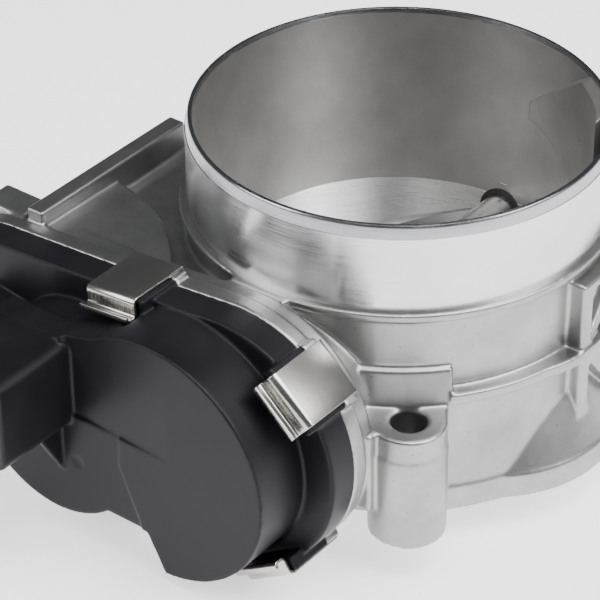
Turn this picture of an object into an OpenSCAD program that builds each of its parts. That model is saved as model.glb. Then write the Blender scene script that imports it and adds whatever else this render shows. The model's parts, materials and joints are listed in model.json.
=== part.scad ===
// Electronic throttle body with a vertical 90 mm bore, a geared motor drive and a clipped cover.
// Frame: the origin is the bore centre on the engine-side mounting face, +Z runs up the bore to the
// inlet, the throttle shaft lies along X with the gear case on the -X side, and the motor is at +Y.

/* [Bore] */
// Height from the mounting face to the inlet rim
total_h = 77; // [74:0.5:80]
// Radius of the machined throttle bore
bore_r = 45; // [44:0.1:45.2]
// Height at which the inlet taper meets the machined bore
bore_top = 30; // [28:0.5:32]
// Inner radius at the inlet rim
rim_r = 49; // [48:0.1:49.3]
// Outer radius of the machined inlet collar
collar_r = 50.8; // [50.6:0.1:51]
// Length of the machined inlet collar
collar_h = 22.5; // [20:0.5:23]

/* [Mounting flange] */
// Bolt spacing along X
bolt_dx = 92; // [90:0.5:93]
// Bolt spacing along Y
bolt_dy = 74; // [72:0.5:76]
// Radius of the bolt holes
bolt_hole_r = 4.2; // [3.3:0.1:4.4]
// Radius of the bolt bosses
boss_r = 8.9; // [8.5:0.1:9.2]
// Radius of the bolt bosses' lower part
boss_foot_r = 9.25; // [9:0.05:9.5]
// Height of the bolt bosses
boss_h = 30.3; // [29:0.1:31]
// Thickness of the flange edge
flange_t = 6.2; // [5:0.1:7]

/* [Throttle] */
// Height of the throttle shaft axis
shaft_z = 25.5; // [25:0.5:26]
// Radius of the throttle shaft
shaft_r = 5; // [4.8:0.1:5]
// Angle between the plate at rest and the closed plate
rest_tilt = 22; // [18:1:24]
// Thickness of the throttle plate
plate_t = 2.4; // [2:0.1:2.6]
// Gap between the plate's edge and the bore
plate_gap = 0.14; // [0.1:0.01:0.3]

/* [Gear case] */
// X of the joint between the casting and the cover
joint_x = -64; // [-64.5:0.5:-63.5]
// X of the cover's front face
face_x = -87.5; // [-88:0.5:-87]
// Thickness of the casting's clip flange
case_flange = 4.5; // [4:0.1:5]
// Depth of the cover's rim
rim_depth = 8; // [7:0.5:8.5]
// Wall thickness of the cover
cover_wall = 2; // [1.8:0.1:2.2]

/* [Gears] */
// Teeth of a full circle on the sector gear
sector_teeth = 54;
// Teeth of the intermediate gear's small gear
small_teeth = 18;
// Teeth of the intermediate gear's large gear
large_teeth = 43;
// Teeth of the motor pinion
pinion_teeth = 13;
// Width of the gear faces
gear_w = 5.5; // [5:0.1:5.6]

/* [Motor] */
// Radius of the motor case
motor_r = 15.5; // [15:0.1:15.6]
// Length of the motor case
motor_l = 50; // [46:1:52]

/* [Clips] */
// Width of a clip
clip_w = 14.2; // [13:0.1:15]
// Thickness of the clip's spring steel
clip_t = 0.8; // [0.7:0.1:0.9]

/* [Hidden] */
$fn = 96;
collar_z = total_h - collar_h;
wall_r = 51;
low_wall_r = 52;
flange_r = 54.8;
lobe_y = 27.4;
lobe_r = 32.5;
plate_r = bore_r - plate_gap;
throttle_yz = [0, shaft_z];
inter_yz = [36, 21];
motor_dir = 16;
pressure = 25;
addendum = 0.8;
dedendum = 1.2;
backlash = 0.14;
inter_dir = atan2(inter_yz[1] - shaft_z, inter_yz[0]);
sector_m = 2 * norm(inter_yz - throttle_yz) / (sector_teeth + small_teeth);
motor_m = 1;
motor_dist = motor_m * (large_teeth + pinion_teeth) / 2;
motor_yz = inter_yz + motor_dist * [cos(motor_dir), sin(motor_dir)];
case_a = [-3, 24.8];
case_ra = 32.3;
case_b = [33, 25];
case_rb = 28.5;
case_c = [66, 30];
case_rc = 21.2;
dome_a = [4.5, 24];
dome_ra = 31.5;
dome_b = [36, 21];
dome_rb = 25;
pan_floor = -57;
case_wall = 3;
stop_yz = [-14, 45.4];
stop_x = -66.8;
pan_back = -54.5;
flange_x = joint_x + case_flange;
rim_x = joint_x - rim_depth;
sector_x = -69.6;
sector_end = sector_x + gear_w;
outer_gear_x = -80;
shroud_y = 41;
shroud_z = 34.3;
shroud_w = 24;
shroud_h = 23.5;
shroud_x = -110;
pin_rows = [for (y = [-6, 0, 6], z = [-3.5, 3.5]) [shroud_y + y, shroud_z + z]];
motor_front = -56.5;
screw_yz = [for (a = [140, 220]) motor_yz + 17.9 * [cos(a), sin(a)]];
motor_back = motor_front + motor_l;
clip_gap = 1.2;
clip_front = -77;
// Each clip: the outline point's Y and Z, and the outward direction in the YZ plane.
clip_seats = [
    [24.5, 54.5, 84],
    [case_a[0] + case_ra * cos(135), case_a[1] + case_ra * sin(135), 131.5],
    [case_a[0] + case_ra * cos(238), case_a[1] + case_ra * sin(238), 237],
    [13, -5.8, 276],
    [case_c[0] + case_rc * cos(18), case_c[1] + case_rc * sin(18), 18],
    [case_c[0] + case_rc * cos(-48), case_c[1] + case_rc * sin(-48), -48]
];

// Extrude a YZ outline along X from x0 to x1.
module along_x(x0, x1) {
    translate([x0, 0, 0]) rotate([90, 0, 90]) linear_extrude(x1 - x0) children();
}

// A round bar along X.
module bar_x(x0, x1, r, yz = [0, 0]) {
    translate([x0, yz[0], yz[1]]) rotate([0, 90, 0]) cylinder(h = x1 - x0, r = r);
}

// A tube along X.
module tube_x(x0, x1, r_out, r_in, yz = [0, 0]) {
    difference() {
        bar_x(x0, x1, r_out, yz);
        bar_x(x0 - 1, x1 + 1, r_in, yz);
    }
}

// Two circles joined by their outer tangents.
module link(a, ra, b, rb) {
    d = b - a;
    dir = atan2(d[1], d[0]);
    off = acos((ra - rb) / norm(d));
    up = [cos(dir + off), sin(dir + off)];
    down = [cos(dir - off), sin(dir - off)];
    pa = ra - 0.03;
    pb = rb - 0.03;
    translate(a) circle(r = ra);
    translate(b) circle(r = rb);
    polygon([a + pa * up, a + pa * down, b + pb * down, b + pb * up]);
}

// A rectangle with round corners, centred on c.
module round_rect(c, w, h, r) {
    translate([c[0] - w / 2 + r, c[1] - h / 2]) square([w - 2 * r, h]);
    translate([c[0] - w / 2, c[1] - h / 2 + r]) square([w, h - 2 * r]);
    for (y = [-1, 1], z = [-1, 1])
        translate([c[0] + y * (w / 2 - r), c[1] + z * (h / 2 - r)]) circle(r = r + 0.02);
}

// Outline of the joint between the casting and the cover, moved in by inset.
module case_outline(inset = 0) {
    link(case_a, case_ra - inset, case_b, case_rb - inset);
    link(case_b, case_rb - inset, case_c, case_rc - inset);
}

// Flat seats that the clips lie on, from x0 to x1.
module flat_seats(x0, x1) {
    for (s = clip_seats)
        translate([0, s[0], s[1]]) rotate([s[2], 0, 0])
            translate([x0, -2.4, -clip_w / 2 - 1.4]) cube([x1 - x0, 2.35 + clip_gap, clip_w + 2.8]);
}

// Outline of the cover's raised dome: the sector lobe, notched below, and the gear lobe.
module dome_outline(inset = 0) {
    difference() {
        translate(dome_a) circle(r = dome_ra - inset);
        polygon([[0.5 + inset, -10], [7 + inset / 2, 2.2 + inset], [26, 2.2 + inset], [26, -10]]);
    }
    translate(dome_b) circle(r = dome_rb - inset);
    polygon([[8, 26], [8, 54.4 - inset], [40, 44.6 - inset], [36, 26]]);
}

// Point of an involute of a base circle rb at radius r, turned by a.
function involute(rb, r, a, side) =
    let (t = r > rb ? sqrt(r * r / rb / rb - 1) : 0, inv = t * 180 / PI - atan(t), b = a + side * inv)
    [r * cos(b), r * sin(b)];

// Half of a tooth's angle at the base circle.
function half_base(z, m) =
    let (t = tan(pressure))
    90 / z - backlash / (m * z) * 180 / PI + (t * 180 / PI - pressure);

// Outline of one tooth, centred on direction a.
function tooth(z, m, a) =
    let (rb = m * z / 2 * cos(pressure), rt = m * (z / 2 + addendum), rr = m * (z / 2 - dedendum),
         h = half_base(z, m), rs = max(rb, rr),
         radii = [rs, rs + (rt - rs) * 0.35, rs + (rt - rs) * 0.7, rt])
    concat(rr < rb ? [[rr * cos(a - h), rr * sin(a - h)]] : [],
        [for (r = radii) involute(rb, r, a - h, 1)],
        [for (i = [3:-1:0]) involute(rb, radii[i], a + h, -1)],
        rr < rb ? [[rr * cos(a + h), rr * sin(a + h)]] : []);

// Gear outline with a tooth on direction a.
module gear_outline(z, m, a) {
    polygon([for (i = [0:z - 1]) each tooth(z, m, a + 360 / z * i)]);
}

// Outline of the engine-side flange: a ring with a lobe on each side of the shaft.
module flange_outline(inset = 0) {
    circle(r = flange_r - inset);
    for (s = [-1, 1]) translate([0, s * lobe_y]) circle(r = lobe_r - inset);
}

// Solid of revolution of the outer body, without its bore.
module outer_body() {
    rotate_extrude() polygon([
        [0, 0], [low_wall_r, 0], [low_wall_r, 30.8], [wall_r, 31.2], [wall_r, 52], [collar_r + 1.8, 52.3], [collar_r + 1.8, collar_z],
        [collar_r, collar_z], [collar_r, total_h - 3.3], [collar_r - 0.35, total_h - 0.5],
        [collar_r - 0.9, total_h], [0, total_h]]);
    linear_extrude(flange_t) flange_outline();
    translate([0, 0, flange_t]) cylinder(h = 14.3, r1 = flange_r - 0.4, r2 = low_wall_r);
    for (s = [-1, 1]) translate([0, s * lobe_y, flange_t])
        cylinder(h = 14.3, r1 = lobe_r - 0.4, r2 = low_wall_r - lobe_y);
}

// The four bolt bosses, each joined to the body by a radial web.
module bolt_bosses() {
    for (x = [-1, 1], y = [-1, 1]) {
        root = x + y < -1 ? [-28, -24.3] : [x * 30, y * 24];
        linear_extrude(boss_h) link([x * bolt_dx / 2, y * bolt_dy / 2], boss_r, root, boss_r);
        translate([x * bolt_dx / 2, y * bolt_dy / 2, 0]) cylinder(h = 24, r = boss_foot_r);
    }
}

// Steep step from the near boss's pad up to the body wall, and the pad itself.
module pad_step() {
    intersection() {
        translate([0, 0, boss_h - 0.1]) cylinder(h = 8.8, r1 = 54.6, r2 = 52.3);
        linear_extrude(60) polygon([[0, 0], [-70, -18], [-70, -83.4]]);
    }
    translate([0, 0, 9]) linear_extrude(boss_h - 9)
        polygon([[-30, -26], [-18, -20], [-40, -10], [-57, -10], [-57, -34.2], [-53.2, -34.4], [-46, -37]]);
}

// Parting ledge, vertical rib, top shelf and crossing braces on the -Y side.
module side_ribs() {
    intersection() {
        translate([0, 0, 30]) linear_extrude(3) {
            circle(r = 54.7);
            translate([0, -lobe_y]) circle(r = 28.9);
        }
        linear_extrude(60) polygon([[0, 0], [-33.6, -38.8], [-35.9, -41.4], [-26, -62], [48, -60]]);
    }
    translate([-3, -55.5, 4]) cube([4, 10, 46.5]);
    intersection() {
        translate([0, 0, 48.2]) cylinder(h = 2.5, r = 57);
        translate([-3, -55.5, 40]) cube([28, 20, 20]);
    }
    brace([-1, -53.6, 31], [24, -48.5, 49.4]);
    brace([-1, -53.6, 33], [22, -54, 5]);
    brace([24, -46.5, 4], [24, -46.5, 50]);
}

// A square brace between two points.
module brace(a, b) {
    d = b - a;
    translate(a)
        rotate([0, acos(d[2] / norm(d)), atan2(d[1], d[0])])
            translate([-1.8, -1.8, 0]) cube([3.6, 3.6, norm(d)]);
}

// The gear case half that is cast with the body, and the lug that bridges it to the collar.
module case_casting() {
    along_x(joint_x, flange_x) case_outline();
    flat_seats(joint_x, flange_x);
    along_x(flange_x, pan_back) case_outline(1.6);
    along_x(pan_back, -38) link([-2, 25.6], 25, [30, 24.6], 21);
    bar_x(pan_back, -40, 13, throttle_yz);
    translate([0, 0, 44]) linear_extrude(10.2)
        polygon([[-56.2, 9], [-56.2, -5], [-50.3, -9], [-44, -9], [-44, 9]]);
}

// The motor's barrel, the sloping shelf above it and the upright wall along the shelf.
module motor_casting() {
    bar_x(flange_x - 0.5, motor_back + 5.5, motor_r + 3.1, motor_yz);
    bar_x(motor_back + 5.5, motor_back + 8, 8, motor_yz);
    translate([0, 0, 46.5]) linear_extrude(4) intersection() {
        translate([-80, 66]) circle(r = 47.5);
        polygon([[-60, 12], [-60, 62], [-30, 62], [-30, 30], [-50, 12]]);
    }
    translate([0, 0, 42]) linear_extrude(4.5)
        polygon([[-58, 8], [-58, 63], [-6, 63], [-6, 40], [-30, 34], [-46, 8]]);
    translate([-60, 60.5, 38]) cube([53, 5, 16.8]);
    translate([-7, 60.5, 38]) cube([8, 5, 12]);
    translate([-60, 67, 40]) cube([9, 13, 11.5]);
    translate([-56, 40, 6]) cube([3.5, 22, 36]);
    translate([-20, 44, 6]) cube([3.5, 18, 30]);
}

// Inner pads of the taper beside the shaft, and the round boss at each end of the shaft.
module taper_pads() {
    difference() {
        intersection() {
            along_x(22, 50) polygon([[-6.5, 31], [-6.5, 60], [-27, total_h], [-39, total_h], [-39, 31]]);
            cylinder(h = total_h, r = 49.6);
        }
        cylinder(h = 200, r = 45.6, center = true);
        bar_x(20, 46.9, 14, [-6, 41]);
    }
    for (s = [-1, 1])
        intersection() {
            bar_x(s > 0 ? 44.98 : -50, s > 0 ? 50 : -44.98, 8.5, throttle_yz);
            cylinder(h = total_h, r = 49.6);
        }
}

// Everything the casting is hollowed by.
module housing_cuts() {
    translate([0, 0, -1]) cylinder(h = bore_top + 1.01, r = bore_r);
    translate([0, 0, bore_top]) cylinder(h = total_h - bore_top + 0.01, r1 = bore_r, r2 = rim_r);
    translate([0, 0, total_h - 0.8]) cylinder(h = 0.81, r1 = rim_r - 0.1, r2 = rim_r + 0.5);
}

// Posts inside the gear case: one holds the intermediate gear's pin, one the stop screw.
module inner_bosses() {
    bar_x(-61.5, pan_floor + 0.5, 5, inter_yz);
    bar_x(-69.5, pan_floor + 0.5, 4.5, stop_yz);
}

// Hollow of the gear case and the motor's hole.
module case_hollow() {
    along_x(joint_x - 1, pan_floor) case_outline(case_wall);
    bar_x(pan_floor - 1, motor_back + 3.2, motor_r + 0.2, motor_yz);
}

// Shaft bores, bearing seats, bolt holes and the holes of the pin and screws.
module shaft_bores() {
    bar_x(-62, -55, 2.5, inter_yz);
    translate([stop_x, stop_yz[0], stop_yz[1]]) rotate([90, 0, 0]) cylinder(h = 20, r = 2, center = true);
    bar_x(-60, 60, shaft_r + 0.1, throttle_yz);
    bar_x(pan_floor - 1, -50.5, 9.5, throttle_yz);
    bar_x(48.5, 60, 7.8, throttle_yz);
    for (s = [-1, 1]) bar_x(s > 0 ? 43 : -47, s > 0 ? 47 : -43, 6.4, throttle_yz);
    for (x = [-1, 1], y = [-1, 1])
        translate([x * bolt_dx / 2, y * bolt_dy / 2, 0]) {
            translate([0, 0, -1]) cylinder(h = boss_h + 2, r = bolt_hole_r);
            translate([0, 0, boss_h - 0.6]) cylinder(h = 0.61, r1 = bolt_hole_r, r2 = bolt_hole_r + 0.6);
        }
    for (p = screw_yz) bar_x(pan_floor - 1, pan_floor + 2.2, 1.6, p);
}

module throttle_housing() {
    color("silver") difference() {
        union() {
            inner_bosses();
            difference() {
                union() {
                    outer_body();
                    bolt_bosses();
                    pad_step();
                    side_ribs();
                    case_casting();
                    motor_casting();
                    bar_x(44, 56, 11.5, throttle_yz);
                }
                housing_cuts();
                case_hollow();
            }
            taper_pads();
        }
        shaft_bores();
    }
}

// Walls of the cover outside its hollow.
module cover_outside() {
    along_x(rim_x, joint_x) case_outline();
    flat_seats(-75.7, joint_x);
    difference() {
        along_x(face_x, rim_x) dome_outline();
        face_steps();
    }
    along_x(-83, rim_x) link(dome_b, 14, motor_yz, 10.5);
    along_x(shroud_x, face_x + 1) round_rect([shroud_y, shroud_z], shroud_w, shroud_h, 3);
    along_x(face_x + 1, -80) round_rect([shroud_y, shroud_z], shroud_w + 0.8, shroud_h + 0.8, 3);
    translate([0, 34, 0]) rotate([90, 0, 0]) linear_extrude(1.6)
        polygon([[-95.6, 22.9], [-86, 22.9], [-86, 9], [-87.5, 9]]);
}

// Sloping recess, lower gear lobe and small round mark on the cover's face, and the top clip's notch.
module face_steps() {
    translate([face_x, -0.3, 26]) rotate([0, 0, -2.2]) translate([-6, 0, 0]) cube([6, 31, 40]);
    along_x(face_x - 1, face_x + 0.4)
        polygon([[14.4, 26.2], [14.8, 18.4], [9.1, 4.8], [6, -10], [70, -10], [70, 26.2]]);
    bar_x(face_x, face_x + 0.7, 1.7, [28, 12.8]);
    top = clip_seats[0];
    translate([0, top[0], top[1]]) rotate([top[2], 0, 0])
        translate([-81, -3.4, -clip_w / 2 - 0.4]) cube([5.2, 6, clip_w + 0.8]);
}

// Hollow of the cover.
module cover_hollow() {
    along_x(rim_x + 2, joint_x + 1) case_outline(case_wall);
    difference() {
        along_x(face_x + cover_wall, rim_x + 3) dome_outline(cover_wall);
        translate([-90, -4, 24.4]) cube([5.4, 34, 46]);
        translate([-90, 26, shroud_z - shroud_h / 2 - 4]) cube([8.4, 40, 40]);
    }
    along_x(-81.2, rim_x + 3) link(dome_b, 12, motor_yz, 8.7);
}

// The connector's mouth, pin slots and the pin's bore.
module cover_cuts() {
    along_x(shroud_x - 1, -90) round_rect([shroud_y, shroud_z], shroud_w - 3.2, shroud_h - 3.2, 1.6);
    for (p = pin_rows) translate([-91, p[0] - 0.75, p[1] - 0.4]) cube([7, 1.5, 0.8]);
    bar_x(-84, -79, 2.5, inter_yz);
}

module gear_cover() {
    color([0.16, 0.15, 0.19]) difference() {
        union() {
            difference() {
                cover_outside();
                cover_hollow();
            }
            bar_x(-86, -81.6, 4.6, inter_yz);
        }
        cover_cuts();
        along_x(joint_x - 1.6, joint_x + 1) difference() {
            case_outline(0.8);
            case_outline(2.3);
        }
    }
}

module cover_gasket() {
    color("darkgreen") along_x(joint_x - 1.6, joint_x) difference() {
        case_outline(0.85);
        case_outline(2.25);
    }
}

// Side profile of a clip: x along the plate, y outwards from the case outline.
module clip_profile() {
    top = clip_gap + clip_t;
    rear = flange_x + 0.05;
    translate([clip_front + 1.4, clip_gap]) square([rear + clip_t - clip_front - 1.4, clip_t]);
    translate([rear, -1.4]) square([clip_t, top + 1.4]);
    translate([clip_front + 1.4, top - 1.4]) difference() {
        circle(r = 1.4);
        circle(r = 0.6);
        translate([0, -2]) square([2, 4]);
        translate([-2, -2]) square([4, 2]);
    }
    translate([clip_front, -1.2]) square([clip_t, top - 1.4 + 1.2]);
    translate([clip_front - 1.2, -1.2]) difference() {
        circle(r = 2);
        circle(r = 1.2);
        translate([-3, 0]) square([6, 3]);
        translate([-3, -3]) square([2, 6]);
    }
    translate([clip_front - 2.4, -3.2]) square([1.3, 0.8]);
    translate([clip_front - 2.9, -3.2]) square([0.8, 1.7]);
}

module cover_clips() {
    color("lightgray") for (s = clip_seats)
        translate([0, s[0], s[1]]) rotate([s[2] - 90, 0, 0])
            rotate([90, 0, 0]) translate([0, 0, -clip_w / 2]) linear_extrude(clip_w) clip_profile();
}

module connector_pins() {
    color("goldenrod") for (p = pin_rows)
        translate([-104, p[0] - 0.7, p[1] - 0.35]) cube([18.8, 1.4, 0.7]);
}

module sensor_board() {
    color("green") translate([-84.4, -14, 13]) cube([1.2, 30, 17]);
}

module sensor_chip() {
    color([0.1, 0.1, 0.1]) translate([-83.2, -3, shaft_z - 3]) cube([1.4, 6, 6]);
}

// Stamped conductors between the board, the connector's pins and the motor contacts.
module lead_frame() {
    color("goldenrod") {
        for (i = [0:3]) translate([-83.9, 16.1, 14 + 2.2 * i]) cube([0.5, 8.5, 1]);
        for (z = [-6, 6]) translate([-69.9, 50, motor_yz[1] + z]) cube([0.4, 22, 1.4]);
    }
}

module throttle_shaft() {
    color("gray") difference() {
        bar_x(-72.5, 54, shaft_r, throttle_yz);
        tilted() translate([-bore_r + 0.1, -6, -plate_t / 2]) cube([2 * bore_r - 0.2, 12, plate_t]);
        for (x = [-18, 18]) tilted() translate([x, 0, 0]) cylinder(h = 20, r = 2, center = true);
        for (x = [-18, 18]) tilted() translate([x, 0, 3.6]) cylinder(h = 3, r = 3.6);
        for (s = [-1, 1]) translate([-73, s > 0 ? 3.6 : -6.6, shaft_z - 6]) cube([4.5, 3, 12]);
    }
}

// The plate's frame: its normal is +Z before the rest tilt is applied.
module tilted() {
    translate([0, 0, shaft_z]) rotate([-rest_tilt, 0, 0]) children();
}

module throttle_plate() {
    color("silver") tilted() difference() {
        intersection() {
            translate([0, 0, -plate_t / 2]) cylinder(h = plate_t, r = plate_r);
            sphere(r = plate_r);
        }
        for (x = [-18, 18]) translate([x, 0, 0]) cylinder(h = 20, r = 2, center = true);
    }
}

module plate_screws() {
    color("silver") for (x = [-18, 18]) tilted() translate([x, 0, 0]) difference() {
        union() {
            translate([0, 0, -5.4]) cylinder(h = 9, r = 2);
            translate([0, 0, 3.6]) cylinder(h = 1.8, r = 3.4);
        }
        translate([0, 0, 4.4]) cylinder(h = 3, r = 1.4, $fn = 6);
    }
}

module gear_bearing_outer() {
    color("lightgray") difference() {
        tube_x(-56.8, -50.8, 9.45, 8, throttle_yz);
        race_groove();
    }
}

module gear_bearing_inner() {
    color("lightgray") difference() {
        tube_x(-56.8, -50.8, 6.4, shaft_r, throttle_yz);
        race_groove();
    }
}

// Ring of circular section that the balls run in.
module race_groove() {
    translate([-53.8, 0, shaft_z]) rotate([0, 90, 0]) rotate_extrude()
        translate([7.2, 0]) circle(r = 1.35);
}

module gear_bearing_balls() {
    color("white") for (a = [0:40:320])
        translate([-53.8, 7.2 * cos(a), shaft_z + 7.2 * sin(a)]) sphere(r = 1.28);
}

module far_bearing_shell() {
    color("lightgray") tube_x(49, 54.6, 7.75, 6.85, throttle_yz);
}

module far_bearing_needles() {
    color("white") for (a = [0:24:336])
        bar_x(49.4, 54.2, 0.85, throttle_yz + 5.93 * [cos(a), sin(a)]);
}

module gear_side_seal() {
    color([0.1, 0.1, 0.1]) tube_x(-46.9, -44.7, 6.35, shaft_r + 0.05, throttle_yz);
}

module far_side_seal() {
    color([0.1, 0.1, 0.1]) tube_x(44.7, 46.9, 6.35, shaft_r + 0.05, throttle_yz);
}

module shaft_end_plug() {
    color("silver") difference() {
        bar_x(55, 56.4, 7.75, throttle_yz);
        bar_x(54.5, 55.9, 6.9, throttle_yz);
    }
}

// The sector gear: teeth from five below the mesh point to eleven above it, on a web and a hub.
module sector_gear() {
    pitch = 360 / sector_teeth;
    low = inter_dir - 5.5 * pitch;
    high = inter_dir + 11.5 * pitch;
    color([0.85, 0.83, 0.76]) difference() {
        union() {
            along_x(sector_x, sector_end) translate(throttle_yz) intersection() {
                gear_outline(sector_teeth, sector_m, inter_dir);
                polygon([[0, 0], 60 * [cos(low), sin(low)], 60 * [cos(15), sin(15)],
                    60 * [cos(high), sin(high)]]);
            }
            bar_x(-73.5, sector_end, 11.5, throttle_yz);
            bar_x(-79.4, -73.5, 9, throttle_yz);
        }
        bar_x(-73.6, -60, 7.4, throttle_yz);
        bar_x(-79.5, -74.6, 7.2, throttle_yz);
        for (a = [20, 48])
            bar_x(sector_x - 1, sector_end + 1, 3.4, throttle_yz + 18 * [cos(a), sin(a)]);
    }
}

module sector_insert() {
    color("gray") difference() {
        bar_x(-73.4, sector_end, 7.38, throttle_yz);
        intersection() {
            bar_x(-75, -60, shaft_r, throttle_yz);
            union() {
                translate([-68.55, -8, shaft_z - 8]) cube([9, 16, 16]);
                translate([-75, -3.6, shaft_z - 8]) cube([10, 7.2, 16]);
            }
        }
    }
}

module sensor_magnet() {
    color([0.25, 0.25, 0.27]) tube_x(-79.4, -74.65, 7.18, 4.5, throttle_yz);
}

// Closed coils of the return spring, between the sector and the case floor.
module return_spring() {
    color("dimgray") for (i = [0:3])
        translate([-57.9 - 1.68 * i, 0, shaft_z]) rotate([0, 90, 0]) rotate_extrude()
            translate([13.6, 0]) circle(r = 0.8);
}

module spring_bush() {
    color("ivory") tube_x(-63.8, -57.05, 12.3, 10.4, throttle_yz);
}

module intermediate_gear() {
    color("ivory") difference() {
        union() {
            along_x(sector_x, sector_end) translate(inter_yz)
                gear_outline(small_teeth, sector_m, inter_dir + 180 + 180 / small_teeth);
            along_x(outer_gear_x, outer_gear_x + gear_w - 1) translate(inter_yz)
                gear_outline(large_teeth, motor_m, motor_dir);
            bar_x(-75.5, -62.3, 6.5, inter_yz);
        }
        bar_x(-90, -50, 2.55, inter_yz);
        for (s = [0, 1])
            tube_x(s > 0 ? -76.4 : -80.1, s > 0 ? -74.9 : -78.6, 17.8, 8.2, inter_yz);
    }
}

module intermediate_pin() {
    color("silver") bar_x(-83.9, -55.1, 2.5, inter_yz);
}

module thrust_washer() {
    color("goldenrod") tube_x(-62.1, -61.6, 5.2, 2.6, inter_yz);
}

module inter_cap_bush() {
    color("goldenrod") tube_x(-81.5, -80.3, 4.6, 2.6, inter_yz);
}

module motor_case() {
    color("gray") difference() {
        bar_x(motor_front, motor_back, motor_r, motor_yz);
        bar_x(motor_front + 1.5, motor_back - 1.2, motor_r - 1, motor_yz);
        bar_x(motor_front - 1, motor_front + 2, 12.5, motor_yz);
        bar_x(motor_back - 2, motor_back + 1, 3.5, motor_yz);
    }
}

module motor_end_plate() {
    color([0.2, 0.2, 0.2]) difference() {
        union() {
            along_x(motor_front - 2.2, motor_front - 0.6)
                for (p = screw_yz) link(motor_yz, 13.5, p, 3.6);
            bar_x(motor_front - 0.6, motor_front + 4, 10.9, motor_yz);
        }
        bar_x(motor_front - 3, motor_front + 5, 2.05, motor_yz);
        for (p = screw_yz) bar_x(motor_front - 3, motor_front, 1.6, p);
        for (z = [-6, 6])
            translate([-62, motor_yz[0] + 8.6, motor_yz[1] + z - 1.7]) cube([12, 1.2, 3.4]);
    }
}

module motor_magnets() {
    color([0.3, 0.3, 0.32]) for (s = [-1, 1]) intersection() {
        tube_x(motor_front + 14, motor_back - 6, motor_r - 1.05, 11.2, motor_yz);
        translate([-100, motor_yz[0] - 10, motor_yz[1] + (s > 0 ? 3 : -33)]) cube([200, 20, 30]);
    }
}

module motor_rear_bush() {
    color("goldenrod") tube_x(motor_back - 4, motor_back, 3.45, 2.05, motor_yz);
}

module motor_wave_washer() {
    color("silver") tube_x(motor_back + 0.6, motor_back + 1.4, 11, 8, motor_yz);
}

module motor_brushes() {
    color([0.2, 0.2, 0.2]) for (s = [-1, 1])
        translate([motor_front + 5.5, motor_yz[0] - 1.5, motor_yz[1] + (s > 0 ? 4.55 : -8.55)])
            cube([4, 3, 4]);
}

module motor_blades() {
    color("goldenrod") for (z = [-6, 6])
        translate([-66, motor_yz[0] + 8.8, motor_yz[1] + z - 1.5]) cube([13.3, 0.8, 3]);
}

module cover_contacts() {
    color("goldenrod") for (z = [-6, 6]) for (s = [-1, 1])
        translate([-69.45, motor_yz[0] + 9.2 + s * 0.9 - 0.25, motor_yz[1] + z - 1.2]) cube([6, 0.5, 2.4]);
}

module motor_screws() {
    color("silver") for (p = screw_yz) {
        bar_x(-60.5, -58.72, 2.8, p);
        bar_x(-58.75, pan_floor + 2.1, 1.55, p);
    }
}

module motor_shaft() {
    color("silver") bar_x(-80.4, motor_back - 0.5, 2, motor_yz);
}

module motor_core() {
    color("dimgray") difference() {
        tube_x(motor_front + 18, motor_back - 10, 10.6, 2, motor_yz);
        for (a = [0:72:288])
            bar_x(motor_front + 17, motor_back - 9, 2.2, motor_yz + 8 * [cos(a), sin(a)]);
    }
}

module motor_windings() {
    color("chocolate") for (a = [0:72:288])
        bar_x(motor_front + 15.5, motor_back - 7.5, 2.15, motor_yz + 8 * [cos(a), sin(a)]);
}

module motor_commutator() {
    color("goldenrod") tube_x(motor_front + 5, motor_front + 13, 4.4, 2, motor_yz);
}

module motor_pinion() {
    color("darkgoldenrod") difference() {
        along_x(outer_gear_x - 0.4, outer_gear_x + gear_w) translate(motor_yz)
            gear_outline(pinion_teeth, motor_m, motor_dir + 180 + 180 / pinion_teeth);
        bar_x(-90, -60, 2, motor_yz);
    }
}

module stop_screw() {
    color("silver") translate([stop_x, -0.5, stop_yz[1]]) rotate([90, 0, 0]) difference() {
        cylinder(h = 19.2, r = 1.98);
        translate([0, 0, 17]) cylinder(h = 3, r = 1.2, $fn = 6);
    }
}

throttle_housing();
gear_cover();
cover_gasket();
cover_clips();
connector_pins();
sensor_board();
sensor_chip();
lead_frame();
throttle_shaft();
throttle_plate();
plate_screws();
gear_bearing_outer();
gear_bearing_balls();
gear_bearing_inner();
far_bearing_shell();
far_bearing_needles();
gear_side_seal();
far_side_seal();
shaft_end_plug();
sector_gear();
sector_insert();
sensor_magnet();
return_spring();
spring_bush();
intermediate_gear();
intermediate_pin();
thrust_washer();
motor_case();
motor_end_plate();
motor_magnets();
motor_rear_bush();
motor_wave_washer();
motor_brushes();
motor_blades();
cover_contacts();
motor_screws();
motor_shaft();
motor_core();
motor_windings();
motor_commutator();
motor_pinion();
stop_screw();
inter_cap_bush();
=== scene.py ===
"""Looks of the electronic throttle body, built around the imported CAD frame."""
import json
import math

import bmesh
import bpy
import numpy as np
from mathutils import Matrix, Vector


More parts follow.
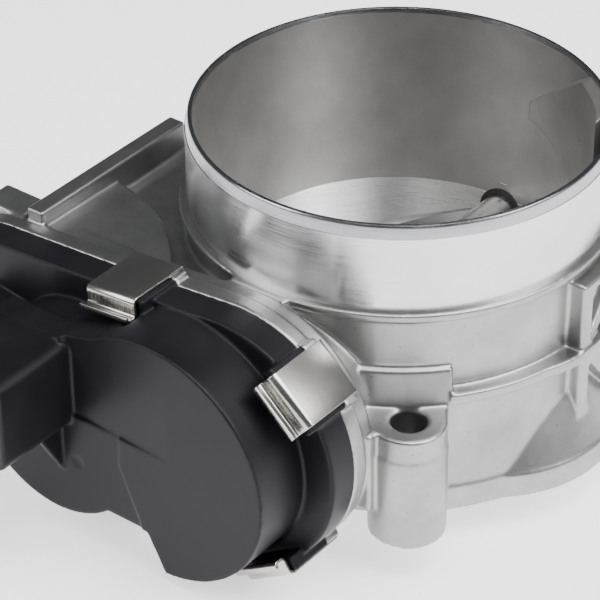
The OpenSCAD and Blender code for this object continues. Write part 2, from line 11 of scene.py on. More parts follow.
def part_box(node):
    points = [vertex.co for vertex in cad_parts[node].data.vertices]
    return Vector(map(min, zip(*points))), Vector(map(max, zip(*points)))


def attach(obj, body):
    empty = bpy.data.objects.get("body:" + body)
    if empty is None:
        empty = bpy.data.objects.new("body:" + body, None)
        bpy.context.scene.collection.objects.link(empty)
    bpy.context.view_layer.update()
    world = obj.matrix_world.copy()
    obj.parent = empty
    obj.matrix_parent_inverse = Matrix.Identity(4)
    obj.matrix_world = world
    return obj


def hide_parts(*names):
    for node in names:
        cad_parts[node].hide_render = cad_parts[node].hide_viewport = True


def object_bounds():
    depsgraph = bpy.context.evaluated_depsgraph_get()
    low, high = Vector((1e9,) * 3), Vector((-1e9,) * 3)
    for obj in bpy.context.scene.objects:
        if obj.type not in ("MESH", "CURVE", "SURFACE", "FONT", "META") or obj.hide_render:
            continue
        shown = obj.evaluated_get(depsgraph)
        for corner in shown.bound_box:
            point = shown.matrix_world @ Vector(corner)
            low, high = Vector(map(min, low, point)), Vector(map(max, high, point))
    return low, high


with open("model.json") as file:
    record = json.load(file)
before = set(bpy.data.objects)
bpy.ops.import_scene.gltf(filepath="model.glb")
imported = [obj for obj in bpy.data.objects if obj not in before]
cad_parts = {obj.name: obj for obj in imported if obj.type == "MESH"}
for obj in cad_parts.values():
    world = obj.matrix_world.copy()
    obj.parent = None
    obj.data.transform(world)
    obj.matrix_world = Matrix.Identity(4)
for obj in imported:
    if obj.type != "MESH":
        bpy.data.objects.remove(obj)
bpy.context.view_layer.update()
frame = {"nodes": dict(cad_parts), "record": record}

MM = 0.001
X, Z = Vector((1, 0, 0)), Vector((0, 0, 1))
record = frame["record"]
node_of = frame["nodes"]
slot_of = {s["node"]: s["material_slot"] for s in record["subparts"]}
body_of = {n: b for b, ns in record["behaviour"]["bodies"].items() for n in ns}
mounts = {m["name"]: m for m in record["mounts"]}
joints = {j["name"]: j for j in record["behaviour"]["joints"]}


def low(name):
    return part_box(name)[0]


def high(name):
    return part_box(name)[1]


# ---------------------------------------------------------------- sizes, all in metres
SHAFT = Vector(joints["throttle_turn"]["pos_m"])
COLLAR_R = mounts["inlet_collar"]["dims"]["r_mm"] * MM
TOP = high("throttle_housing").z
LEDGE = TOP - 22.5 * MM
BORE_R = 45 * MM
BORE_TOP = 30 * MM
RIM_R = 49 * MM
LINER_R = 50.2 * MM
SHAFT_R = 5 * MM
MOUTH_R = 6.4 * MM
REST_TILT = math.radians(22)
SCREW_X = 18 * MM
FLANGE_END_X = -54.2 * MM
RIM_CHAMFER_END = TOP - 1.2 * MM
SHARP_EDGE = math.radians(50)


# ---------------------------------------------------------------- materials
def new_material(name, color, metallic, roughness):
    m = bpy.data.materials.new(name)
    m.use_nodes = True
    p = m.node_tree.nodes["Principled BSDF"]
    p.inputs["Base Color"].default_value = (*color, 1)
    p.inputs["Metallic"].default_value = metallic
    p.inputs["Roughness"].default_value = roughness
    return m, m.node_tree, p


def add(tree, kind, **values):
    n = tree.nodes.new(kind)
    for key, value in values.items():
        if key in n.inputs:
            n.inputs[key].default_value = value
        else:
            setattr(n, key, value)
    return n


def coords(tree, stretch=(1, 1, 1)):
    """Object coordinates in metres, stretched for grain that runs one way."""
    source = add(tree, "ShaderNodeTexCoord")
    scale = add(tree, "ShaderNodeMapping")
    scale.inputs["Scale"].default_value = stretch
    tree.links.new(source.outputs["Object"], scale.inputs["Vector"])
    return scale.outputs["Vector"]


def noise(tree, size, detail=3.0, rough=0.5, stretch=(1, 1, 1)):
    """Noise whose blobs are about size metres across."""
    n = add(tree, "ShaderNodeTexNoise", Scale=1 / size, Detail=detail, Roughness=rough)
    tree.links.new(coords(tree, stretch), n.inputs["Vector"])
    return n.outputs["Fac"]


def ramp(tree, source, low_in, high_in, low_out, high_out):
    """source mapped from one range of values to another."""
    n = add(tree, "ShaderNodeMapRange")
    n.inputs["From Min"].default_value = low_in
    n.inputs["From Max"].default_value = high_in
    n.inputs["To Min"].default_value = low_out
    n.inputs["To Max"].default_value = high_out
    tree.links.new(source, n.inputs["Value"])
    return n.outputs["Result"]


def mix_colors(tree, factor, a, b):
    n = add(tree, "ShaderNodeMix", data_type="RGBA")
    tree.links.new(factor, n.inputs["Factor"])
    n.inputs[6].default_value = (*a, 1)
    n.inputs[7].default_value = (*b, 1)
    return n.outputs[2]


def bump(tree, shader, layers):
    """Layers of (height source, depth in metres)."""
    last = None
    for source, depth in layers:
        n = add(tree, "ShaderNodeBump", Strength=1.0, Distance=depth)
        tree.links.new(source, n.inputs["Height"])
        if last:
            tree.links.new(last, n.inputs["Normal"])
        last = n.outputs["Normal"]
    tree.links.new(last, shader.inputs["Normal"])


def grained(name, color, dark, metallic, rough, grain=0.0003, depth=0.00001,
            blotch=0.008, stretch=(1, 1, 1), spread=0.08, detail=3.0):
    """A surface with fine grain in its bump and slow changes of colour and gloss."""
    m, tree, p = new_material(name, color, metallic, rough)
    slow = noise(tree, blotch, 4)
    fine = noise(tree, grain, detail, 0.6, stretch)
    tree.links.new(mix_colors(tree, ramp(tree, slow, 0.3, 0.7, 0, 1), dark, color), p.inputs["Base Color"])
    tree.links.new(ramp(tree, fine, 0.3, 0.7, rough - spread, rough + spread), p.inputs["Roughness"])
    bump(tree, p, [(fine, depth), (slow, depth * 3)])
    return m


def cast_metal():
    """Blasted die casting: satin grey with fine grain, faint orange peel and a few dark pits."""
    m, tree, p = new_material("cast_aluminium", (0.45, 0.45, 0.45), 1.0, 0.42)
    slow = noise(tree, 0.012, 5, 0.55)
    peel = noise(tree, 0.0016, 2, 0.5)
    grain = noise(tree, 0.00022, 2, 0.7)
    pits = add(tree, "ShaderNodeTexVoronoi", Scale=1 / 0.0028, Randomness=1.0)
    tree.links.new(coords(tree), pits.inputs["Vector"])
    pit = ramp(tree, pits.outputs["Distance"], 0.05, 0.13, 0, 1)
    tone = mix_colors(tree, ramp(tree, slow, 0.32, 0.68, 0, 1), (0.30, 0.30, 0.30), (0.39, 0.39, 0.385))
    shade = add(tree, "ShaderNodeMix", data_type="RGBA", blend_type="MULTIPLY")
    shade.inputs["Factor"].default_value = 1.0
    tree.links.new(tone, shade.inputs[6])
    tree.links.new(mix_colors(tree, pit, (0.72, 0.72, 0.72), (1, 1, 1)), shade.inputs[7])
    tree.links.new(shade.outputs[2], p.inputs["Base Color"])
    tree.links.new(ramp(tree, grain, 0.3, 0.7, 0.30, 0.46), p.inputs["Roughness"])
    bump(tree, p, [(grain, 0.000012), (peel, 0.00002), (pit, 0.00001)])
    return m


def turned_metal(name, color, rough, pitch, depth, smear=0.9):
    """Lathe-turned aluminium: fine rings along the bore's axis."""
    m, tree, p = new_material(name, color, 1.0, rough)
    rings = add(tree, "ShaderNodeTexWave", wave_type="BANDS", bands_direction="Z",
                Scale=1 / pitch / 6.28, Distortion=0.0)
    tree.links.new(coords(tree), rings.inputs["Vector"])
    streaks = noise(tree, 0.0004, 3, 0.6, (0.05, 0.05, 1))
    slow = noise(tree, 0.02, 2)
    tree.links.new(ramp(tree, streaks, 0.3, 0.7, rough - 0.04, rough + 0.06), p.inputs["Roughness"])
    tree.links.new(mix_colors(tree, ramp(tree, slow, 0.3, 0.7, 0, 1),
                              tuple(c * 0.93 for c in color), color), p.inputs["Base Color"])
    bump(tree, p, [(rings.outputs["Fac"], depth), (streaks, depth)])
    # Turning marks run round the axis, so reflections smear along it.
    around = add(tree, "ShaderNodeTangent", direction_type="RADIAL", axis="Z")
    tree.links.new(around.outputs["Tangent"], p.inputs["Tangent"])
    p.inputs["Anisotropic"].default_value = smear
    p.inputs["Anisotropic Rotation"].default_value = 0.25
    return m


def moulded_plastic():
    """Satin black moulding with a faint violet tint and very fine texture."""
    m, tree, p = new_material("black_plastic", (0.008, 0.0075, 0.011), 0.0, 0.42)
    p.inputs["Specular IOR Level"].default_value = 0.16
    slow = noise(tree, 0.02, 3)
    fine = noise(tree, 0.00018, 2, 0.6)
    tree.links.new(mix_colors(tree, ramp(tree, slow, 0.3, 0.7, 0, 1), (0.006, 0.0055, 0.0075),
                              (0.010, 0.0095, 0.0125)), p.inputs["Base Color"])
    tree.links.new(ramp(tree, slow, 0.3, 0.7, 0.36, 0.46), p.inputs["Roughness"])
    bump(tree, p, [(fine, 0.000006), (slow, 0.00003)])
    return m


MATERIALS = {
    "cast_aluminium": cast_metal(),
    "black_plastic": moulded_plastic(),
    "stainless": grained("stainless", (0.52, 0.51, 0.49), (0.44, 0.43, 0.41), 1, 0.24, 0.00012,
                         0.000003, 0.01, (1, 0.03, 1)),
    "steel": grained("steel", (0.60, 0.60, 0.60), (0.5, 0.5, 0.5), 1, 0.22, 0.0001, 0.000002, 0.01,
                     (1, 0.05, 0.05)),
    "plated_steel": grained("plated_steel", (0.66, 0.66, 0.64), (0.55, 0.55, 0.54), 1, 0.32),
    "bearing_steel": grained("bearing_steel", (0.70, 0.70, 0.71), (0.62, 0.62, 0.63), 1, 0.15),
    "spring_steel": grained("spring_steel", (0.20, 0.20, 0.21), (0.14, 0.14, 0.15), 1, 0.35),
    "plate_aluminium": grained("plate_aluminium", (0.50, 0.50, 0.50), (0.44, 0.44, 0.44), 1, 0.34, 0.0002,
                               0.000004, 0.012, (1, 0.04, 1)),
    "bronze": grained("bronze", (0.50, 0.33, 0.14), (0.38, 0.25, 0.10), 1, 0.4),
    "copper_contact": grained("copper_contact", (0.70, 0.52, 0.30), (0.60, 0.42, 0.22), 1, 0.25),
    "copper_wire": grained("copper_wire", (0.50, 0.20, 0.08), (0.40, 0.14, 0.05), 0.6, 0.3),
    "black_rubber": grained("black_rubber", (0.02, 0.02, 0.02), (0.014, 0.014, 0.014), 0, 0.6),
    "green_rubber": grained("green_rubber", (0.03, 0.10, 0.05), (0.02, 0.07, 0.04), 0, 0.55),
    "ivory_plastic": grained("ivory_plastic", (0.62, 0.56, 0.43), (0.56, 0.50, 0.38), 0, 0.45),
    "magnet": grained("magnet", (0.06, 0.06, 0.065), (0.04, 0.04, 0.045), 0.3, 0.5),
    "board_green": grained("board_green", (0.02, 0.16, 0.06), (0.015, 0.12, 0.05), 0, 0.3),
    "black_resin": grained("black_resin", (0.02, 0.02, 0.02), (0.015, 0.015, 0.015), 0, 0.4),
    "motor_steel": grained("motor_steel", (0.45, 0.45, 0.47), (0.38, 0.38, 0.40), 1, 0.3),
    "lamination": grained("lamination", (0.25, 0.25, 0.26), (0.18, 0.18, 0.19), 1, 0.4, 0.0005, 0.00002,
                          0.01, (1, 0.02, 0.02)),
    "carbon": grained("carbon", (0.04, 0.04, 0.04), (0.03, 0.03, 0.03), 0.2, 0.6),
}
POLISHED = turned_metal("polished_collar", (0.74, 0.74, 0.75), 0.20, 0.00025, 0.0000006)
BORED = turned_metal("machined_bore", (0.78, 0.78, 0.78), 0.24, 0.0003, 0.0000004)
LIP = turned_metal("rim_lip", (0.42, 0.42, 0.44), 0.24, 0.0002, 0.0000008, 0.6)
TAPER = grained("cast_taper", (0.42, 0.415, 0.405), (0.35, 0.345, 0.335), 1, 0.48, 0.0004, 0.00002, 0.01)
FACED = grained("milled_face", (0.72, 0.72, 0.72), (0.64, 0.64, 0.64), 1, 0.27, 0.0003, 0.000003)


# ---------------------------------------------------------------- mesh helpers
def make_object(name, mesh, body, slot, *replaced, place=None):
    """A finished piece: it rides on a body and may stand for CAD nodes; its slot argument is not used."""
    obj = bpy.data.objects.new(name, mesh)
    bpy.context.scene.collection.objects.link(obj)
    if place is not None:
        obj.matrix_world = place
    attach(obj, body)
    if replaced:
        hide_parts(*replaced)
    return obj


def scratch(mesh):
    """A helper object that carries modifiers and is removed again."""
    obj = bpy.data.objects.new("scratch", mesh)
    bpy.context.scene.collection.objects.link(obj)
    return obj


def bake_modifiers(obj):
    """The mesh that obj's modifiers give. obj is removed."""
    bpy.context.view_layer.update()
    shown = obj.evaluated_get(bpy.context.evaluated_depsgraph_get())
    mesh = bpy.data.meshes.new_from_object(shown)
    bpy.data.objects.remove(obj)
    return mesh


def copy_of_node(name):
    """A welded copy of a CAD node's mesh. The node itself stays as it is."""
    mesh = node_of[name].data.copy()
    mesh.materials.clear()
    bm = bmesh.new()
    bm.from_mesh(mesh)
    bmesh.ops.remove_doubles(bm, verts=bm.verts, dist=1e-7)
    bm.to_mesh(mesh)
    bm.free()
    return mesh


def cut(mesh, *tools, operation="DIFFERENCE"):
    """mesh with the tool meshes taken away, or kept within them."""
    obj = scratch(mesh)
    helpers = [scratch(t) for t in tools]
    for h in helpers:
        m = obj.modifiers.new("cut", "BOOLEAN")
        m.operation = operation
        m.solver = "EXACT"
        m.object = h
    made = bake_modifiers(obj)
    for h in helpers:
        bpy.data.objects.remove(h)
    return made


def voxel_remesh(mesh, size):
    obj = scratch(mesh)
    m = obj.modifiers.new("remesh", "REMESH")
    m.mode = "VOXEL"
    m.voxel_size = size
    return bake_modifiers(obj)


def break_edges(mesh, width):
    """A small bevel on every sharp edge."""
    obj = scratch(mesh)
    b = obj.modifiers.new("edge", "BEVEL")
    b.width = width
    b.segments = 2
    b.limit_method = "ANGLE"
    b.angle_limit = SHARP_EDGE
    return bake_modifiers(obj)


def relax(mesh, steps, amount=0.5):
    """Softens every edge of a dense mesh into a fillet."""
    n = len(mesh.vertices)
    co = np.empty(n * 3)
    mesh.vertices.foreach_get("co", co)
    co = co.reshape(-1, 3)
    ends = np.empty(len(mesh.edges) * 2, np.int64)
    mesh.edges.foreach_get("vertices", ends)
    a, b = ends[0::2], ends[1::2]
    both, other = np.concatenate((a, b)), np.concatenate((b, a))
    degree = np.bincount(both, minlength=n).clip(1)
    for _ in range(steps):
        mean = np.stack([np.bincount(both, co[other, k], n) for k in range(3)], 1) / degree[:, None]
        co += amount * (mean - co)
    mesh.vertices.foreach_set("co", co.reshape(-1))
    mesh.update()
    return co


def set_coords(mesh, co):
    mesh.vertices.foreach_set("co", co.reshape(-1))
    mesh.update()


def smooth_shade(mesh, angle=None):
    """Smooth shading, kept crisp at edges sharper than angle degrees."""
    for p in mesh.polygons:
        p.use_smooth = True
    if angle is not None:
        mesh.set_sharp_from_angle(angle=math.radians(angle))


def lathe(profile, segments=256, axis=Z, centre=Vector((0, 0, 0)), materials=None):
    """A closed (radius, height) profile turned about an axis. materials names each side's slot index."""
    bm = bmesh.new()
    turn = Z.rotation_difference(axis).to_matrix()
    rings = []
    for i in range(segments):
        a = 2 * math.pi * i / segments
        ring = [bm.verts.new(centre + turn @ Vector((r * math.cos(a), r * math.sin(a), h)))
                for r, h in profile]
        rings.append(ring)
    for i in range(segments):
        one, two = rings[i], rings[(i + 1) % segments]
        for j in range(len(profile)):
            k = (j + 1) % len(profile)
            f = bm.faces.new((one[j], two[j], two[k], one[k]))
            f.smooth = True
            if materials:
                f.material_index = materials[j]
    bmesh.ops.remove_doubles(bm, verts=bm.verts, dist=1e-8)
    bmesh.ops.recalc_face_normals(bm, faces=bm.faces)
    mesh = bpy.data.meshes.new("lathe")
    bm.to_mesh(mesh)
    bm.free()
    return mesh


def rod(start, end, radius, segments=64):
    """A plain cylinder between two points, used as a cutting tool."""
    d = Vector(end) - Vector(start)
    bm = bmesh.new()
    bmesh.ops.create_cone(bm, cap_ends=True, segments=segments, radius1=radius, radius2=radius,
                          depth=d.length)
    turn = Z.rotation_difference(d).to_matrix().to_4x4()
    middle = Matrix.Translation((Vector(start) + Vector(end)) / 2)
    bmesh.ops.transform(bm, matrix=middle @ turn, verts=bm.verts)
    mesh = bpy.data.meshes.new("rod")
    bm.to_mesh(mesh)
    bm.free()
    return mesh


def round_corners(points, radii, steps):
    """An open 2-D path with each corner replaced by an arc."""
    n = len(points)
    made = []
    for i, p in enumerate(points):
        p = Vector(p)
        if i in (0, n - 1):
            made.append(p)
            continue
        r = radii[i]
        u = (Vector(points[i - 1]) - p).normalized()
        v = (Vector(points[i + 1]) - p).normalized()
        half = u.angle(v) / 2
        back = r / math.tan(half)
        centre = p + (u + v).normalized() * (r / math.sin(half))
        s = p + u * back - centre
        turn = s.angle_signed(p + v * back - centre)
        for k in range(steps + 1):
            a = -turn * k / steps
            made.append(centre + Vector((s.x * math.cos(a) - s.y * math.sin(a),
                                         s.x * math.sin(a) + s.y * math.cos(a))))
    return made


# ---------------------------------------------------------------- casting
CAST_VOXEL = 0.4 * MM


def build_cast_skin():
    """The outside of the casting, with filleted edges and a crisp mounting face."""
    body = copy_of_node("throttle_housing")
    past, lap = 10 * MM, 0.4 * MM
    inside = rod((0, 0, -past), (0, 0, TOP + past), LINER_R - lap, 256)
    above = rod((0, 0, LEDGE), (0, 0, TOP + past), COLLAR_R + lap, 256)
    mesh = voxel_remesh(cut(body, inside, above), CAST_VOXEL)
    co = relax(mesh, 6)
    reach = np.hypot(co[:, 0], co[:, 1])
    # Machined faces come back to their exact planes.
    flat = co[:, 2] < 0.45 * MM
    on_flange = flat & (co[:, 0] > FLANGE_END_X)
    co[on_flange, 2] = 0
    wall = (reach < LINER_R) & (co[:, 2] < LEDGE - 1 * MM)
    co[wall, :2] *= (LINER_R / reach[wall])[:, None]
    set_coords(mesh, co)
    smooth_shade(mesh, 50)
    mesh.materials.append(MATERIALS["cast_aluminium"])
    mesh.materials.append(FACED)
    for p in mesh.polygons:
        if p.center.z < 0.05 * MM and p.center.x > FLANGE_END_X - 0.3 * MM:
            p.material_index = 1
    return make_object("casting", mesh, "housing", "cast_aluminium", "throttle_housing")


def taper_radius(z):
    """The inside radius of the cast taper between the bore and the rim."""
    return BORE_R + (RIM_R - BORE_R) * (z - BORE_TOP) / (TOP - BORE_TOP)


def build_liner():
    """The machined collar, rim, taper and bore, with the shaft's mouths cut in."""
    mid_z = TOP - 3.3 * MM
    foot_z = LEDGE - 0.4 * MM
    profile = [
        (BORE_R, 0.6 * MM), (BORE_R + 0.6 * MM, 0), (LINER_R, 0),
        (LINER_R, foot_z), (COLLAR_R, foot_z),
        (COLLAR_R, mid_z), (COLLAR_R - 0.16 * MM, mid_z + 0.04 * MM),
        (COLLAR_R - 0.2 * MM, mid_z + 0.3 * MM),
        (COLLAR_R - 0.5 * MM, TOP - 0.7 * MM), (COLLAR_R - 0.62 * MM, TOP - 0.3 * MM),
        (COLLAR_R - 0.8 * MM, TOP - 0.06 * MM), (COLLAR_R - 0.95 * MM, TOP),
        (RIM_R + 0.2 * MM, TOP), (RIM_R + 0.08 * MM, TOP - 0.06 * MM),
        (RIM_R, TOP - 0.3 * MM), (RIM_R - 0.08 * MM, RIM_CHAMFER_END)]
    polished, bored, taper, lip = range(4)
    finish = [bored] * 4 + [polished] + [lip] * 10 + [taper]
    # Rings every few millimetres keep the facets beside the shaft's mouths small.
    taper_steps, bore_steps = 12, 20
    for i in range(1, taper_steps):
        h = RIM_CHAMFER_END + (BORE_TOP - RIM_CHAMFER_END) * i / taper_steps
        profile.append((taper_radius(h), h))
        finish.append(taper)
    profile.append((BORE_R, BORE_TOP))
    finish.append(bored)
    for i in range(1, bore_steps):
        profile.append((BORE_R, BORE_TOP + (0.6 * MM - BORE_TOP) * i / bore_steps))
        finish.append(bored)
    mesh = lathe(profile, 384, materials=finish)
    for m in (POLISHED, BORED, TAPER, LIP):
        mesh.materials.append(m)
    tools = []
    for s in (-1, 1):
        start = SHAFT + X * s * 30 * MM
        tools.append(rod(start, SHAFT + X * s * 47 * MM, MOUTH_R))
        tools.append(rod(start, SHAFT + X * s * 60 * MM, SHAFT_R + 0.1 * MM))
    mesh = cut(mesh, *tools)
    smooth_shade(mesh, 28)
    return make_object("bore_and_collar", mesh, "housing", "cast_aluminium", "throttle_housing")


def build_inner_pads():
    """Cast pads that stand out of the taper, with their backs pushed into the wall."""
    gap = 0.12 * MM
    z0, z1 = BORE_TOP + 0.5 * MM, TOP - 0.6 * MM
    inside = lathe([(0, z0), (taper_radius(z0) - gap, z0), (taper_radius(z1) - gap, z1), (0, z1)], 256)
    pads = cut(copy_of_node("throttle_housing"), inside, operation="INTERSECT")
    mesh = voxel_remesh(pads, 0.25 * MM)
    co = relax(mesh, 5)
    reach = np.hypot(co[:, 0], co[:, 1])
    back = reach > taper_radius(co[:, 2]) - 2.5 * gap
    co[back, :2] *= ((reach[back] + 5 * gap) / reach[back])[:, None]
    set_coords(mesh, co)
    smooth_shade(mesh)
    mesh.materials.append(TAPER)
    return make_object("inner_pads", mesh, "housing", "cast_aluminium", "throttle_housing")


build_cast_skin()
build_liner()
build_inner_pads()


# ---------------------------------------------------------------- cover
def build_cover():
    mesh = voxel_remesh(copy_of_node("gear_cover"), (0.35) * MM)
    relax(mesh, 5)
    smooth_shade(mesh)
    mesh.materials.append(MATERIALS["black_plastic"])
    return make_object("cover", mesh, "housing", "black_plastic", "gear_cover")


build_cover()


# ---------------------------------------------------------------- clips
def ribbon(points, radii, thickness, width, steps=6):
    """Sheet metal bent along a 2-D path, with a rounded edge all round. Width runs along Z."""
    path = round_corners(points, radii, steps)
    left, right = [], []
    for i, p in enumerate(path):
        before, after = path[max(i - 1, 0)], path[min(i + 1, len(path) - 1)]
        along = (after - before).normalized()
        side = Vector((-along.y, along.x)) * thickness / 2
        left.append(p + side)
        right.append(p - side)
    outline = left + right[::-1]
    bm = bmesh.new()
    ends = [[bm.verts.new((q.x, q.y, z)) for q in outline] for z in (-width / 2, width / 2)]
    n, m = len(outline), len(path)
    for i in range(n):
        j = (i + 1) % n
        bm.faces.new((ends[0][i], ends[0][j], ends[1][j], ends[1][i]))
    for ring in ends:
        for i in range(m - 1):
            bm.faces.new((ring[i], ring[i + 1], ring[n - 2 - i], ring[n - 1 - i]))
    bmesh.ops.recalc_face_normals(bm, faces=bm.faces)
    mesh = bpy.data.meshes.new("ribbon")
    bm.to_mesh(mesh)
    bm.free()
    made = break_edges(mesh, 0.13 * MM)
    smooth_shade(made, 60)
    return made


def clip_places():
    """Each clip's middle and outward direction in the YZ plane, found from the CAD clips' own vertices."""
    mesh = node_of["cover_clips"].data
    parent = list(range(len(mesh.vertices)))

    def root(i):
        while parent[i] != i:
            parent[i] = parent[parent[i]]
            i = parent[i]
        return i

    seen = {}
    for v in mesh.vertices:
        key = tuple(round(c * 1e7) for c in v.co)
        parent[v.index] = root(seen.setdefault(key, v.index))
    for e in mesh.edges:
        parent[root(e.vertices[0])] = root(e.vertices[1])
    groups = {}
    for v in mesh.vertices:
        groups.setdefault(root(v.index), []).append(v.co)
    places = []
    for vs in groups.values():
        front = [v for v in vs if v.x < min(w.x for w in vs) + 1.2 * MM]
        rear = [v for v in vs if v.x > max(w.x for w in vs) - 0.2 * MM]
        a = np.array([[v.y, v.z] for v in rear])
        mid = a.mean(0)
        spread = np.linalg.svd(a - mid)[2][0]
        out = np.array([-spread[1], spread[0]])
        lip = np.array([[v.y, v.z] for v in front]).mean(0)
        if np.dot(mid - lip, out) < 0:
            out = -out
        top = (a @ out).max()
        along = np.array([out[1], -out[0]])
        places.append((out * top + along * np.dot(mid, along), math.atan2(out[1], out[0])))
    return sorted(places, key=lambda p: (round(p[1], 3), p[0][0]))


def build_clips():
    lo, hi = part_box("cover_clips")
    t, width = 0.8 * MM, 14.2 * MM
    back, front, lip = hi.x - t / 2, lo.x + 3.3 * MM, lo.x + t / 2
    leg, fold, lip_end = -3.4 * MM, -4.8 * MM, -3.3 * MM
    path = [(back, leg), (back, -t / 2), (front, -t / 2), (front, fold), (lip, fold), (lip, lip_end)]
    mesh = ribbon(path, [0, 0.9 * MM, 1.3 * MM, 1.2 * MM, 0.7 * MM, 0], t, width)
    mesh.materials.append(MATERIALS["stainless"])
    for i, (point, angle) in enumerate(clip_places()):
        out = Vector((0, math.cos(angle), math.sin(angle)))
        side = X.cross(out)
        turn = Matrix((X, out, side)).transposed().to_4x4()
        place = Matrix.Translation((0, point[0], point[1])) @ turn
        make_object(f"clip_{i + 1}", mesh.copy(), "housing", "stainless", "cover_clips", place=place)


build_clips()


# ---------------------------------------------------------------- throttle
TILT = Matrix.Translation(SHAFT) @ Matrix.Rotation(-REST_TILT, 4, "X")


def build_plate():
    r, t = BORE_R - 0.14 * MM, 1.2 * MM  # radius and half thickness
    profile = [(0, -t), (r - 0.35 * MM, -t), (r - 0.1 * MM, -t + 0.2 * MM), (r, -0.4 * MM), (r, 0.4 * MM),
               (r - 0.1 * MM, t - 0.2 * MM), (r - 0.35 * MM, t), (0, t)]
    mesh = lathe(profile, 256)
    smooth_shade(mesh, 25)
    mesh.materials.append(MATERIALS["plate_aluminium"])
    make_object("plate", mesh, "throttle", "plate_aluminium", "throttle_plate", place=TILT)


def build_shaft():
    ends = (low("throttle_shaft").x, high("throttle_shaft").x)
    c = 0.5 * MM
    profile = [(0, ends[0]), (SHAFT_R - c, ends[0]), (SHAFT_R, ends[0] + c), (SHAFT_R, ends[1] - c),
               (SHAFT_R - c, ends[1]), (0, ends[1])]
    mesh = lathe(profile, 96, axis=X, centre=Vector((0, SHAFT.y, SHAFT.z)))
    head_r, seat, clear = 3.6 * MM, 3.6 * MM, 8 * MM
    sockets = [rod(TILT @ Vector((x, 0, seat)), TILT @ Vector((x, 0, clear)), head_r)
               for x in (-SCREW_X, SCREW_X)]
    mesh = cut(mesh, *sockets)
    smooth_shade(mesh, 30)
    mesh.materials.append(MATERIALS["steel"])
    make_object("shaft", mesh, "throttle", "steel", "throttle_shaft")


def build_screws():
    profile = [(0, 3.6 * MM), (3.4 * MM, 3.6 * MM), (3.4 * MM, 4.6 * MM), (3.25 * MM, 5.05 * MM),
               (2.9 * MM, 5.3 * MM), (2.3 * MM, 5.4 * MM), (0, 5.4 * MM)]
    shank = [(0, -5.35 * MM), (1.6 * MM, -5.35 * MM), (1.95 * MM, -5.0 * MM), (1.95 * MM, 3.7 * MM),
             (0, 3.7 * MM)]
    for s in (-1, 1):
        socket = rod((0, 0, 4.4 * MM), (0, 0, 7 * MM), 1.4 * MM, 6)
        head = cut(lathe(profile, 48), socket)
        mesh = cut(head, lathe(shank, 32), operation="UNION")
        smooth_shade(mesh, 35)
        mesh.materials.append(MATERIALS["plated_steel"])
        place = TILT @ Matrix.Translation((s * SCREW_X, 0, 0))
        name = "plate_screw_a" if s < 0 else "plate_screw_b"
        make_object(name, mesh, "throttle", "plated_steel", "plate_screws", place=place)


def build_spring():
    """Helical return spring with its two ends."""
    lo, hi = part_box("return_spring")
    wire, turns, steps, sides = 0.8 * MM, 3.6, 48, 12
    r = (hi.y - lo.y) / 2 - wire
    first, last = hi.x - wire, lo.x + wire
    count = int(turns * steps)
    bm = bmesh.new()
    rings = []
    for i in range(count + 1):
        a = 2 * math.pi * i / steps
        out = Vector((0, math.cos(a), math.sin(a)))
        at = SHAFT + out * r
        at.x = first + (last - first) * i / count
        rings.append([bm.verts.new(at + (out * math.cos(b) + X * math.sin(b)) * wire)
                      for b in (2 * math.pi * k / sides for k in range(sides))])
    for one, two in zip(rings, rings[1:]):
        for k in range(sides):
            j = (k + 1) % sides
            bm.faces.new((one[k], one[j], two[j], two[k]))
    bm.faces.new(rings[0])
    bm.faces.new(rings[-1][::-1])
    bmesh.ops.recalc_face_normals(bm, faces=bm.faces)
    mesh = bpy.data.meshes.new("spring")
    bm.to_mesh(mesh)
    bm.free()
    smooth_shade(mesh, 50)
    mesh.materials.append(MATERIALS["spring_steel"])
    make_object("spring", mesh, "housing", "spring_steel", "return_spring")


build_plate()
build_shaft()
build_screws()
build_spring()


def build_edged(name, width):
    """A CAD node with its sharp edges broken."""
    mesh = copy_of_node(name)
    bm = bmesh.new()
    bm.from_mesh(mesh)
    bmesh.ops.dissolve_limit(bm, angle_limit=math.radians(1), verts=bm.verts, edges=bm.edges)
    bm.to_mesh(mesh)
    bm.free()
    made = break_edges(mesh, width)
    smooth_shade(made, 40)
    made.materials.clear()
    made.materials.append(MATERIALS[slot_of[name]])
    make_object(name + "_edged", made, body_of[name], slot_of[name], name)


for name, width in (("connector_pins", 0.22 * MM), ("shaft_end_plug", 0.25 * MM)):
    build_edged(name, width)


# ---------------------------------------------------------------- CAD nodes that show as they are
for name, obj in node_of.items():
    if obj.hide_render:
        continue
    obj.data.materials.clear()
    obj.data.materials.append(MATERIALS[slot_of[name]])
    smooth_shade(obj.data, 32)


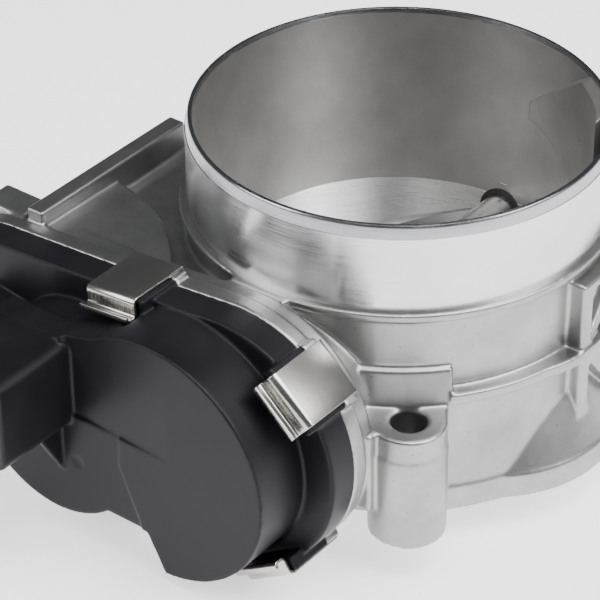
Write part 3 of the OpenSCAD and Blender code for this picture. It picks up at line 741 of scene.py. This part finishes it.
# ---------------------------------------------------------------- camera, light and floor
def aim(obj, place, azimuth, elevation, roll=0.0):
    a, e, r = (math.radians(v) for v in (azimuth, elevation, roll))
    back = Vector((math.sin(a) * math.cos(e), -math.cos(a) * math.cos(e), math.sin(e)))
    right = Vector((math.cos(a), math.sin(a), 0))
    up = back.cross(right)
    side = right * math.cos(r) - up * math.sin(r)
    top = right * math.sin(r) + up * math.cos(r)
    obj.matrix_world = Matrix.Translation(place) @ Matrix((side, top, back)).transposed().to_4x4()


def add_camera():
    data = bpy.data.cameras.new("camera")
    data.sensor_width = 36
    data.lens = 175.3
    data.clip_start = 0.01
    data.clip_end = 20
    obj = bpy.data.objects.new("camera", data)
    bpy.context.scene.collection.objects.link(obj)
    aim(obj, Vector((-0.4793, -0.3443, 0.4300)), -52, 34.626, 0.2886)
    bpy.context.scene.camera = obj


def softbox(name, direction, distance, size, power):
    """An area light facing the body from a direction given as azimuth and elevation."""
    data = bpy.data.lights.new(name, "AREA")
    data.shape = "RECTANGLE"
    data.size, data.size_y = size
    data.energy = power
    obj = bpy.data.objects.new(name, data)
    bpy.context.scene.collection.objects.link(obj)
    a, e = (math.radians(v) for v in direction)
    back = Vector((math.sin(a) * math.cos(e), -math.cos(a) * math.cos(e), math.sin(e)))
    aim(obj, back * distance + Vector((0, 0, 0.03)), *direction)


def add_floor():
    under_clips = low("cover_clips").z - 1 * MM
    under_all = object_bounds()[0][2] - 0.5 * MM
    bm = bmesh.new()
    bmesh.ops.create_grid(bm, x_segments=2, y_segments=2, size=3.0)
    mesh = bpy.data.meshes.new("floor")
    bm.to_mesh(mesh)
    bm.free()
    m, tree, p = new_material("floor", (0.9, 0.9, 0.9), 0, 0.7)
    p.inputs["Emission Color"].default_value = (1, 1, 1, 1)
    p.inputs["Emission Strength"].default_value = 1.2
    mesh.materials.append(m)
    obj = bpy.data.objects.new("floor", mesh)
    obj.location.z = min(under_clips, under_all)
    bpy.context.scene.collection.objects.link(obj)


def add_world():
    world = bpy.data.worlds.new("studio")
    world.use_nodes = True
    world.node_tree.nodes["Background"].inputs["Color"].default_value = (0.80, 0.82, 0.85, 1)
    world.node_tree.nodes["Background"].inputs["Strength"].default_value = 0.12
    bpy.context.scene.world = world


add_camera()
softbox("key", (15, 50), 0.9, (0.5, 0.8), 11)
softbox("left", (-125, 35), 0.9, (0.5, 0.5), 5)
softbox("top", (-40, 80), 1.0, (0.6, 0.6), 8)
add_floor()
add_world()
